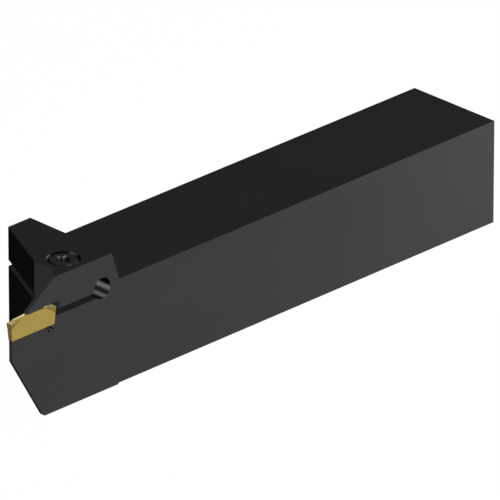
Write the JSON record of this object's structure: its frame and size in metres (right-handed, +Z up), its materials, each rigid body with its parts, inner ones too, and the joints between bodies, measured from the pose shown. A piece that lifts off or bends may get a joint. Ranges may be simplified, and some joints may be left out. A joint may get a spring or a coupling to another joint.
{
  "type": "parting and grooving tool holder",
  "caption": "Square-shank lathe tool for parting and grooving: thin blade, coated cutting insert, and an upper jaw that a cap screw bends down to clamp it.",
  "frame": {"origin": "middle of the shank's flat base, half way along the shank and across it", "axes": "+X along the shank to the cutting edge, +Y to the side that carries the blade, +Z up"},
  "size_m": [0.15, 0.0257, 0.0322],
  "materials": {
    "oxidised_steel": "hardened steel, ground and blackened, satin dark grey",
    "coated_carbide": "sintered carbide with a gold-coloured nitride coating, satin",
    "screw_steel": "blackened screw steel, slightly oily gloss"
  },
  "bodies": {
    "root": {"holder_body": "oxidised_steel", "cutting_insert": "coated_carbide", "clamp_screw": "screw_steel"}
  },
  "joints": []
}
